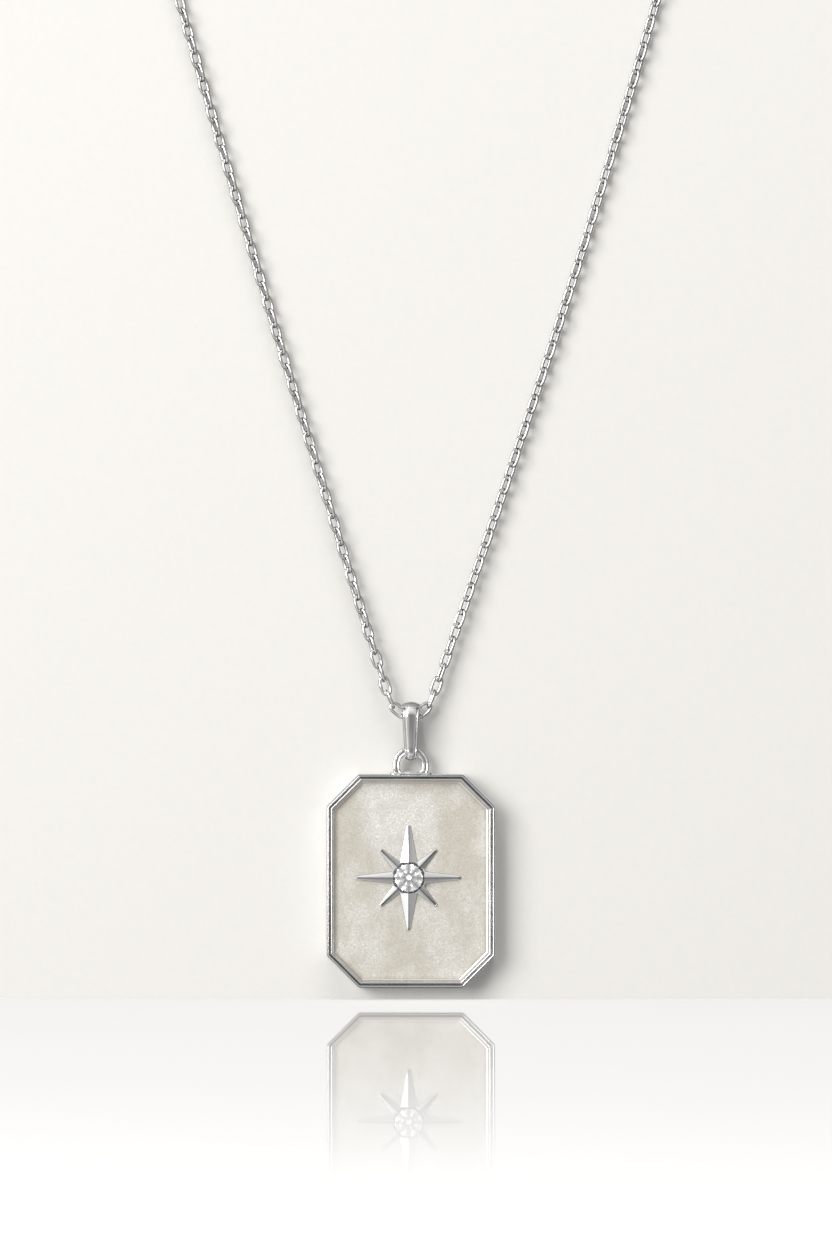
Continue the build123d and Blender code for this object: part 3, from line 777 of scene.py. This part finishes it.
SHORT_REACH = 3.56  # the star: from its middle to a short arm's tip
ARM_START = 1.36
LEVEL_ARM = (0.54, 0.42, 0.15)  # half width and height at the root, half width at the tip
UPRIGHT_ARM = (0.75, 0.42, 0.15)
SHORT_ARM = (0.46, 0.36, 0.12)
TIP_RISE = 0.14
SUNK = -0.03  # pieces on the shell go this far into it
SIDE_WALL = 0.07
RIDGE_FLAT_HALF = 0.03
ARM_HOLLOW = 0.012
ARM_FOOT = 0.045  # the arms' sides lean out by this much down to the shell
PAINTED_DARK_LINE_FACES = (0, 3, 6)  # of an arm's section: its two sides and the flat along its top, painted dark as dark reflected lines
# Along an arm: the share of its length, and how much its section is drawn in there.
ARM_STATIONS = ((0, 1), (0.35, 1), (0.7, 1), (0.9, 1), (0.965, 1), (0.99, 0.85), (1, 0.55))
HUB = ((1.56, SUNK), (1.55, 0.1), (1.46, 0.2), (1.41, 0.2), (1.41, SUNK))  # radius and height


def arm_section(half, rise):
    """Across an arm: two slightly hollow slopes up to a narrow flat."""
    side = min(SIDE_WALL, rise / 2)
    flat = min(RIDGE_FLAT_HALF, half / 3)
    slope = ((half + flat) / 2, (side + rise) / 2 - ARM_HOLLOW)
    right = [(flat, rise), slope, (half, side), (half + ARM_FOOT, SUNK)]
    return [(-q, h) for q, h in reversed(right)] + right


def star():
    """Eight ridged arms round a closed ring, four long and four short."""
    low, high, middle = box_mm("starburst")
    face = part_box("shell_inlay")[0].y / MM
    verts, faces, dark = [], [], []
    for turn in range(8):
        if turn % 2:
            arm, reach = SHORT_ARM, SHORT_REACH
        else:
            arm, reach = UPRIGHT_ARM if turn % 4 else LEVEL_ARM, (high.x - low.x) / 2
        root_half, root_rise, tip_half = arm
        out = Vector((math.cos(math.radians(45 * turn)), 0, math.sin(math.radians(45 * turn))))
        across = Vector((out.z, 0, -out.x))
        rings = []
        for share, squeeze in ARM_STATIONS:
            half = (root_half + (tip_half - root_half) * share) * squeeze
            rise = (root_rise + (TIP_RISE - root_rise) * share) * (0.4 + 0.6 * squeeze)
            place = middle + out * (ARM_START + (reach - ARM_START) * share)
            section = arm_section(half, rise)
            rings.append([(place.x + across.x * q, face - h, place.z + across.z * q) for q, h in section])
        for span in range(len(rings) - 1):
            dark += [len(faces) + span * len(section) + side for side in PAINTED_DARK_LINE_FACES]
        join(verts, faces, *skin(rings, loop=False))
    hub = []
    for x, z in arc(0, 0, 1, 0, 352.5, 47):
        hub.append([(middle.x + x * radius, face - rise, middle.z + z * radius) for radius, rise in HUB])
    join(verts, faces, *skin(hub))
    # The arms' sides and ridge flats get painted dark lines that stand in for dark reflections.
    paint_shade(plated("star", verts, faces, polished, "pendant", "starburst", sharp=12), dark)


BEADS = 16
BEAD_IN = 0.045  # how far a bead reaches in over the stone, and out to the front
BEAD_OUT = 0.05
COLLET_RISE = 0.60
COLLET_LIP = 0.08  # radius of the collet's rounded rim, whose middle is at LIP_RADIUS
LIP_RADIUS = 1.31
BEADED = range(2, 9)  # of the collet's outline, the points on its rim


def collet_outline():
    """Radius and height, up the outside, over the rim, and down the seat to the stem's hidden end."""
    lip = arc(LIP_RADIUS, COLLET_RISE - 0.05, COLLET_LIP, 0, 180, 6)
    seat = [(1.262, COLLET_RISE - 0.15), (1.265, 0.40), (0.9, 0.05), (0.4, -0.35), (0.4, -0.5), (1.0, -0.5)]
    return [(1.38, SUNK), (1.39, COLLET_RISE - 0.06)] + lip + seat + [(1.0, SUNK)]


def collet():
    """The dark collet round the stone, its edge raised in small beads that hold the girdle."""
    _, _, middle = box_mm("stone_collet")
    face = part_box("shell_inlay")[0].y / MM
    rings = []
    for x, z in arc(0, 0, 1, 0, 357.5, 143):
        bead = max(0.0, math.cos(BEADS * math.atan2(z, x))) ** 2
        ring = []
        for n, (radius, height) in enumerate(collet_outline()):
            lift = bead if n in BEADED else 0.0
            radius -= BEAD_IN * lift
            ring.append((middle.x + x * radius, face - height - BEAD_OUT * lift, middle.z + z * radius))
        rings.append(ring)
    plated("collet", *skin(rings), collet_metal, "pendant", "stone_collet", sharp=60)


rim()
loop_ring()
collet()
bail_wrap()
star()

# ---------------------------------------------------------------- stage

FLOOR_HALF = 1.6
BOARD_HALF = 0.16
EDGE_CENTER = 3.7 * MM  # the board's rounded top edge: its middle's y, and its radius
EDGE_RADIUS = 2.45 * MM
EDGE_ROUND_TURN = 1.25 * math.pi  # how far the edge goes round, from its front
EDGE_STEPS = 32
edge_top = cad_high.z - (LINK_WIDTH + 0.02) * MM


def stage_object(name, verts, faces, material, unseen_by):
    """A smooth sheet that isn't part of the object, and the kinds of ray that don't see it."""
    mesh = bpy.data.meshes.new(name)
    mesh.from_pydata(verts, [], faces)
    mesh.polygons.foreach_set("use_smooth", [True] * len(mesh.polygons))
    mesh.materials.append(material)
    made = bpy.data.objects.new(name, mesh)
    bpy.context.scene.collection.objects.link(made)
    for ray in unseen_by:
        setattr(made, f"visible_{ray}", False)


def board_material():
    """Matt off-white board. Its unseen back face is clear, so it never hides the object from behind."""
    n = Nodes("board_paper")
    fibre = n.noise(1800, 3, 0.6)
    tone = n.ramp(fibre, (0.3, (0.875, 0.865, 0.835)), (0.7, (0.89, 0.88, 0.85)))
    n.link(tone, n.shader.inputs["Base Color"])
    n.set(Roughness=0.95, Specular_IOR_Level=0.1)
    clear = n.add("ShaderNodeBsdfTransparent")
    is_back = n.add("ShaderNodeNewGeometry").outputs["Backfacing"]
    n.show(is_back, n.shader.outputs["BSDF"], clear.outputs["BSDF"])
    return n.material


FLOOR_FADE = 236 * MM  # how far out from the board the floor's mirror has faded


def floor_material():
    """Pale glossy floor whose mirror fades away from the board; its colour is painted lighter away from the
    board, standing in for light.
    """
    n = Nodes("floor_gloss")
    reach = n.math("MULTIPLY", n.split(n.place)["Y"], -1 / FLOOR_FADE)
    # Painted light: the floor's colour grows lighter away from the board, standing in for light that
    # brightens the floor towards the front.
    tone = n.ramp(reach, (0.0, (0.865, 0.85, 0.82)), (0.5, (0.875, 0.87, 0.855)), (0.95, (0.91, 0.91, 0.91)))
    n.link(tone, n.shader.inputs["Base Color"])
    n.set(Roughness=0.9, Specular_IOR_Level=0.0)
    mirror = n.add("ShaderNodeBsdfGlossy", Roughness=0.0)
    mirror.inputs["Color"].default_value = (1, 1, 1, 1)
    mirror_share = n.ramp(reach, (0.0, 0.52), (0.34, 0.46), (0.62, 0.28), (0.84, 0.11), (1.0, 0.0))
    n.show(mirror_share, n.shader.outputs["BSDF"], mirror.outputs["BSDF"])
    return n.material


def board_sheet():
    """The board's front face and its rounded top edge, an open sheet."""
    profile = [(board_front, floor_z)]
    edge_z = edge_top - EDGE_RADIUS
    for step in range(EDGE_STEPS + 1):
        angle = math.pi - EDGE_ROUND_TURN * step / EDGE_STEPS
        profile.append((EDGE_CENTER + EDGE_RADIUS * math.cos(angle), edge_z + EDGE_RADIUS * math.sin(angle)))
    verts = [(x, y, z) for y, z in profile for x in (-BOARD_HALF, BOARD_HALF)]
    faces = [(2 * k, 2 * k + 1, 2 * k + 3, 2 * k + 2) for k in range(len(profile) - 1)]
    stage_object("board", verts, faces, board_material(), ("glossy", "diffuse", "transmission", "shadow"))


def floor_sheet():
    verts = [(x * FLOOR_HALF, y * FLOOR_HALF, floor_z) for x, y in ((-1, -1), (1, -1), (1, 1), (-1, 1))]
    stage_object("floor", verts, [(0, 1, 2, 3)], floor_material(), ("diffuse", "glossy", "transmission"))


board_sheet()
floor_sheet()

# ---------------------------------------------------------------- light


def soft_light(name, place, target, size, power, colour):
    """A rectangular light that the camera doesn't see: size in metres, power in watts."""
    light = bpy.data.lights.new(name, "AREA")
    light.shape = "RECTANGLE"
    light.size, light.size_y = size
    light.energy = power
    light.color = colour
    made = bpy.data.objects.new(name, light)
    made.location = place
    made.rotation_euler = (Vector(target) - Vector(place)).to_track_quat("-Z", "Y").to_euler()
    made.visible_camera = False
    bpy.context.scene.collection.objects.link(made)
    return made


AMBIENT = (0.34, 0.335, 0.325)
BACKDROP = (0.90, 0.895, 0.88)
BRIGHT_SIDE = Vector((-0.88, -0.25, 0.40)).normalized()


def studio_world():
    """Even pale light on matt surfaces, a plain backdrop, and a studio for reflections and the stone.

    Depth is 0 straight to the front, 0.5 to the sides and 1 straight to the back. Metal sees bright cards
    in front, dark all round the sides, which draws its outlines, and white straight behind.
    """
    world = bpy.data.worlds.new("studio")
    bpy.context.scene.world = world
    world.use_nodes = True
    n = Nodes(world)
    ray = n.add("ShaderNodeLightPath")
    towards = n.split(n.direction)
    depth = n.math("MULTIPLY_ADD", towards["Y"], 0.5, 0.5)
    surround = n.ramp(
        depth,
        (0.0, 0.36), (0.012, 0.5), (0.05, 0.95), (0.13, 1.35), (0.27, 1.25), (0.36, 0.75),
        (0.44, 0.08), (0.53, 0.02), (0.95, 0.02), (0.975, 0.5), (0.985, 1.0),
    )
    # Brighter from the upper left, and broken into soft streaks.
    lean = n.add("ShaderNodeVectorMath", operation="DOT_PRODUCT")
    n.link(n.direction, lean.inputs[0])
    lean.inputs[1].default_value = BRIGHT_SIDE
    lit_share = n.math("MULTIPLY_ADD", lean.outputs["Value"], 0.5, 0.5)
    side = n.ramp(lit_share, (0.0, 0.30), (0.35, 0.46), (0.7, 0.80), (0.92, 1.05))
    streaks = n.ramp(n.noise(2.2, 3, 0.6, (1, 0.4, 1)), (0.38, 0.72), (0.6, 1.0))
    shaped = n.mix(1.0, n.mix(1.0, surround, side, "MULTIPLY"), streaks, "MULTIPLY")
    # A grey band at eye level keeps the frame's sides and back from going black in other views.
    level = n.ramp(n.math("ABSOLUTE", towards["Z"]), (0.35, 1.0), (0.65, 0.0))
    band = n.ramp(
        depth,
        (0.44, 0.0), (0.50, 0.17), (0.56, 0.05), (0.66, 0.08), (0.78, 0.24), (0.88, 0.42), (0.96, 0.6),
    )
    shaped = n.mix(1.0, shaped, n.mix(1.0, level, band, "MULTIPLY"), "ADD")
    near_axis = n.ramp(depth, (0.95, 0.0), (0.98, 1.0))
    reflected = n.mix(near_axis, shaped, surround)
    through_stone = n.ramp(
        depth,
        (0.0, 0.35), (0.05, 0.8), (0.10, 1.25), (0.27, 1.25), (0.37, 0.35), (0.44, 0.04), (1.0, 0.04),
    )
    lit = n.mix(ray.outputs["Is Glossy Ray"], AMBIENT, reflected)
    lit = n.mix(ray.outputs["Is Transmission Ray"], lit, through_stone)
    n.link(n.mix(ray.outputs["Is Camera Ray"], lit, BACKDROP), n.shader.inputs["Color"])


KEY_PLACE = (-0.50, -0.62, frame_center.z + 0.22)
FILL_PLACE = (0.0, -0.42, floor_z + 0.9)
FILL_TARGET = (0, -0.32, floor_z)

studio_world()
soft_light("key", KEY_PLACE, frame_center, (0.55, 0.55), 5.45, (1.0, 0.99, 0.975))
fill = soft_light("floor_fill", FILL_PLACE, FILL_TARGET, (0.7, 0.3), 4.5, (1.0, 0.995, 0.99))
fill.visible_glossy = False
